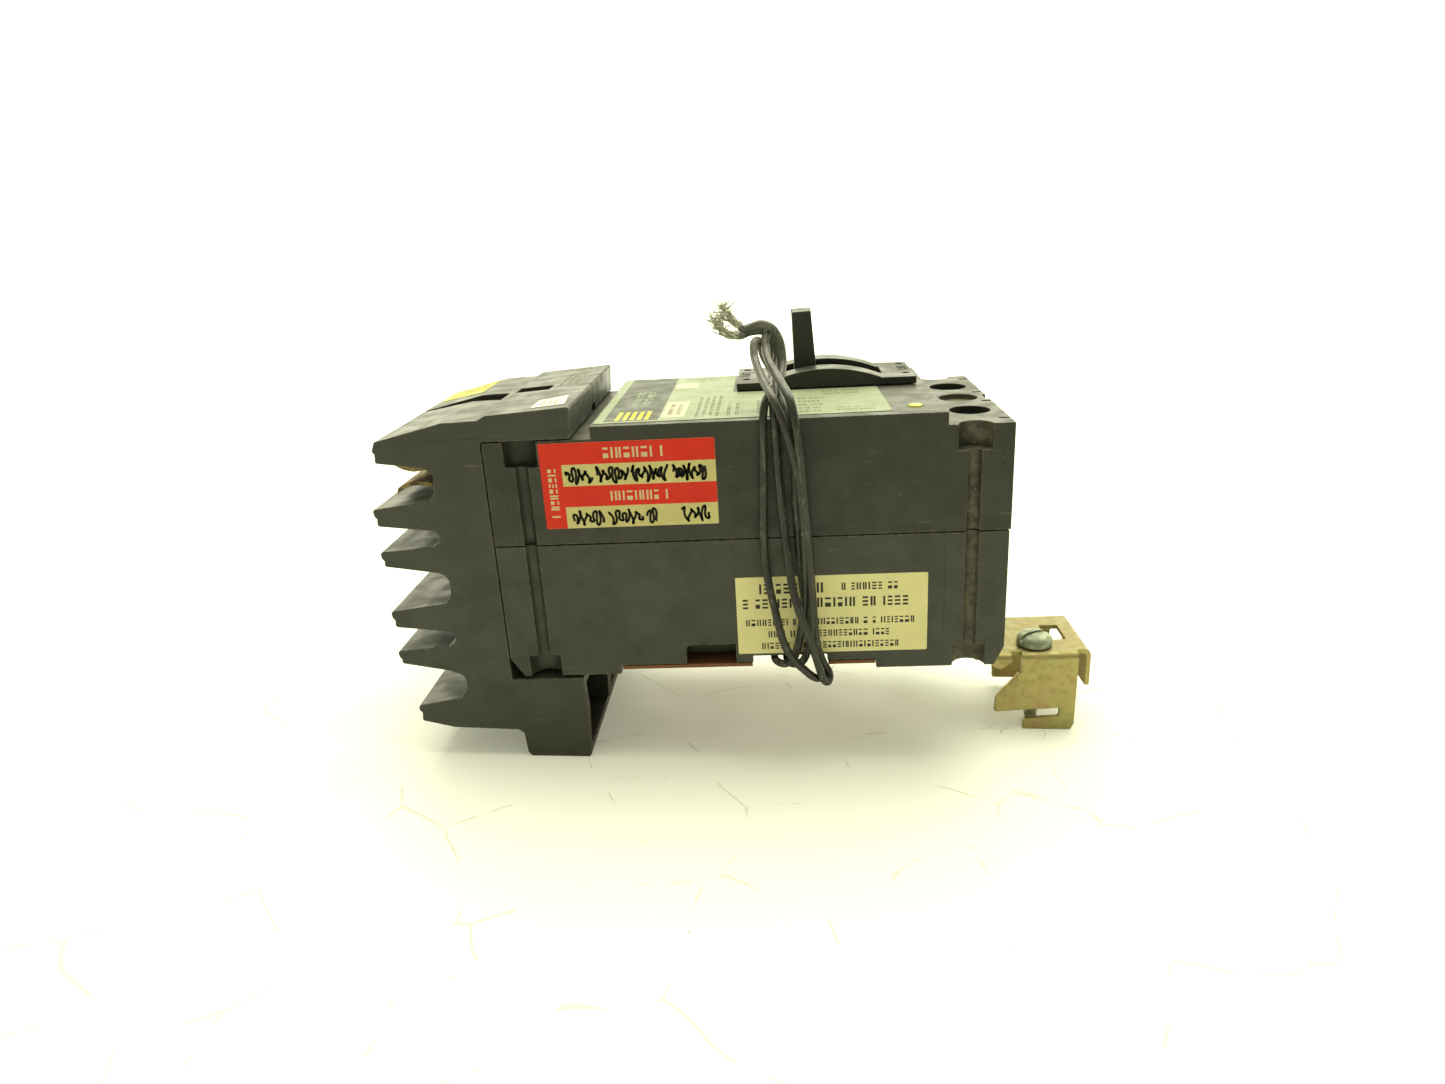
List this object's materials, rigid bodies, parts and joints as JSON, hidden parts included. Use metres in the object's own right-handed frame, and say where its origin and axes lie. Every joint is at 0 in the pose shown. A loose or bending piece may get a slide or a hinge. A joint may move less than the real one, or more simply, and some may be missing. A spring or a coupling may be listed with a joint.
{
  "type": "gfci breaker",
  "caption": "Plug-on moulded-case breaker for panel bus bars, with toggle handle, shunt-trip coil and leads for ground-fault tripping, and a clamp bracket at the load end.",
  "frame": {"origin": "on the underside of the insulating plate below the case, midway along the case's length and width", "axes": "+X from the plug-on jaws to the load end, -Y the side that carries the leads, +Z the front with the handle"},
  "size_m": [0.222, 0.0849, 0.1406],
  "materials": {
    "base": "semi-matte moulded phenolic",
    "cover": "semi-matte moulded phenolic",
    "insulator_plate": "brown vulcanised fibre sheet",
    "case_screw_line": "zinc plated",
    "case_screw_load": "zinc plated",
    "deck_label": "printed sage-green foil",
    "catalog_label": "red and cream printed sticker",
    "rating_label": "cream printed sticker",
    "hood_sticker": "white sticker",
    "hood_label": "yellow sticker",
    "near_jaw_housing": "semi-matte moulded phenolic",
    "far_jaw_housing": "semi-matte moulded phenolic",
    "near_jaw_upper": "dull copper alloy",
    "near_jaw_lower": "dull copper alloy",
    "far_jaw_upper": "dull copper alloy",
    "far_jaw_lower": "dull copper alloy",
    "near_line_strap": "copper strap with a silver alloy contact",
    "far_line_strap": "copper strap with a silver alloy contact",
    "crossbar": "moulded insulation",
    "near_contact_arm": "copper arm with a silver alloy tip",
    "far_contact_arm": "copper arm with a silver alloy tip",
    "near_arc_chute": "steel plates in fibre cheeks",
    "far_arc_chute": "steel plates in fibre cheeks",
    "mechanism_frame": "zinc plated",
    "handle": "moulded, worn satin",
    "handle_arm": "zinc plated",
    "handle_pivot_pin": "ground",
    "cradle_pivot_pin": "ground",
    "cradle": "hardened, oiled",
    "lower_link": "hardened, oiled",
    "upper_link": "hardened, oiled",
    "main_spring": "spring wire",
    "trip_bar": "moulded insulation",
    "trip_button": "bright yellow",
    "button_guide": "moulded insulation",
    "button_spring": "spring wire",
    "shunt_coil": "taped winding",
    "shunt_frame": "plain steel",
    "shunt_plunger": "ground",
    "plunger_spring": "spring wire",
    "handle_escutcheon": "moulded",
    "mounting_bracket": "yellow zinc plated steel",
    "bracket_screw": "dull zinc",
    "bracket_fixing_1": "zinc plated",
    "bracket_fixing_2": "zinc plated",
    "lead_a": "black insulation",
    "lead_b": "black insulation",
    "near_load_strap": "copper",
    "near_bimetal": "thermostat strip",
    "near_magnet_yoke": "plain steel",
    "near_load_lug": "plated",
    "near_lug_screw": "zinc plated",
    "near_braid": "woven copper",
    "far_load_strap": "copper",
    "far_bimetal": "thermostat strip",
    "far_magnet_yoke": "plain steel",
    "far_load_lug": "plated",
    "far_lug_screw": "zinc plated",
    "far_braid": "woven copper"
  },
  "bodies": {
    "case": {"base": "base", "cover": "cover", "insulator_plate": "insulator_plate", "case_screw_line": "case_screw_line", "case_screw_load": "case_screw_load", "deck_label": "deck_label", "catalog_label": "catalog_label", "rating_label": "rating_label", "hood_sticker": "hood_sticker", "hood_label": "hood_label", "near_jaw_housing": "near_jaw_housing", "far_jaw_housing": "far_jaw_housing", "near_jaw_upper": "near_jaw_upper", "near_jaw_lower": "near_jaw_lower", "far_jaw_upper": "far_jaw_upper", "far_jaw_lower": "far_jaw_lower", "near_line_strap": "near_line_strap", "far_line_strap": "far_line_strap", "near_arc_chute": "near_arc_chute", "far_arc_chute": "far_arc_chute", "mechanism_frame": "mechanism_frame", "handle_pivot_pin": "handle_pivot_pin", "cradle_pivot_pin": "cradle_pivot_pin", "button_guide": "button_guide", "button_spring": "button_spring", "shunt_coil": "shunt_coil", "shunt_frame": "shunt_frame", "plunger_spring": "plunger_spring", "handle_escutcheon": "handle_escutcheon", "mounting_bracket": "mounting_bracket", "bracket_fixing_1": "bracket_fixing_1", "bracket_fixing_2": "bracket_fixing_2", "lead_a": "lead_a", "lead_b": "lead_b", "near_load_strap": "near_load_strap", "near_bimetal": "near_bimetal", "near_magnet_yoke": "near_magnet_yoke", "near_load_lug": "near_load_lug", "near_braid": "near_braid", "far_load_strap": "far_load_strap", "far_bimetal": "far_bimetal", "far_magnet_yoke": "far_magnet_yoke", "far_load_lug": "far_load_lug", "far_braid": "far_braid"},
    "handle": {"handle": "handle", "handle_arm": "handle_arm", "main_spring": "main_spring"},
    "crossbar": {"crossbar": "crossbar", "near_contact_arm": "near_contact_arm", "far_contact_arm": "far_contact_arm"},
    "lower_link": {"lower_link": "lower_link"},
    "upper_link": {"upper_link": "upper_link"},
    "cradle": {"cradle": "cradle"},
    "trip_bar": {"trip_bar": "trip_bar"},
    "trip_button": {"trip_button": "trip_button"},
    "shunt_plunger": {"shunt_plunger": "shunt_plunger"},
    "bracket_screw": {"bracket_screw": "bracket_screw"},
    "near_lug_screw": {"near_lug_screw": "near_lug_screw"},
    "far_lug_screw": {"far_lug_screw": "far_lug_screw"}
  },
  "joints": [
    {"name": "handle_pivot", "type": "hinge", "parent": "case", "child": "handle", "pos_m": [0.0257, 0.021, 0.0369], "axis": [0, 1, 0], "range_deg": [-10.5, 26.7], "deforming": ["main_spring"]},
    {"name": "crossbar_pivot", "type": "hinge", "parent": "case", "child": "crossbar", "pos_m": [0.008, 0, 0.03], "axis": [0, 1, 0], "range_deg": [-6.5, 16]},
    {"name": "lower_link_pivot", "type": "hinge", "parent": "crossbar", "child": "lower_link", "pos_m": [-0.002, 0.0218, 0.033], "axis": [0, 1, 0], "range_deg": [-6.5, 2.8]},
    {"name": "knee_pivot", "type": "hinge", "parent": "lower_link", "child": "upper_link", "pos_m": [0.00747, 0.0191, 0.04385], "axis": [0, 1, 0], "range_deg": [-22, 9]},
    {"name": "trip_button_slide", "type": "slide", "parent": "case", "child": "trip_button", "axis": [0, 0, -1], "range_m": [0, 0.002], "deforming": ["button_spring"]},
    {"name": "trip_bar_pivot", "type": "hinge", "parent": "case", "child": "trip_bar", "pos_m": [0.056, 0, 0.056], "axis": [0, -1, 0], "range_deg": [0, 20]},
    {"name": "cradle_pivot", "type": "hinge", "parent": "case", "child": "cradle", "pos_m": [-0.003, 0.0158, 0.06], "axis": [0, -1, 0], "range_deg": [0, 8.5]},
    {"name": "shunt_plunger_slide", "type": "slide", "parent": "case", "child": "shunt_plunger", "axis": [1, 0, 0], "range_m": [0, 0.002], "deforming": ["plunger_spring"]},
    {"name": "bracket_screw_turn", "type": "hinge", "parent": "case", "child": "bracket_screw", "pos_m": [0.0931, -0.008, -0.009], "axis": [0, 0, 1], "continuous": true},
    {"name": "near_lug_screw_turn", "type": "hinge", "parent": "case", "child": "near_lug_screw", "pos_m": [0.0669, -0.01905, 0.026], "axis": [0, 0, 1], "continuous": true},
    {"name": "far_lug_screw_turn", "type": "hinge", "parent": "case", "child": "far_lug_screw", "pos_m": [0.0669, 0.01905, 0.026], "axis": [0, 0, 1], "continuous": true}
  ],
  "couplings": [
    {"joint": "crossbar_pivot", "follows": "handle_pivot", "ratio": 0.5914},
    {"joint": "lower_link_pivot", "follows": "handle_pivot", "ratio": -0.23},
    {"joint": "knee_pivot", "follows": "handle_pivot", "ratio": -0.81},
    {"joint": "trip_bar_pivot", "follows": "trip_button_slide", "rad_per_m": 170},
    {"joint": "cradle_pivot", "follows": "trip_button_slide", "rad_per_m": 70},
    {"joint": "shunt_plunger_slide", "follows": "trip_button_slide", "ratio": 1}
  ]
}
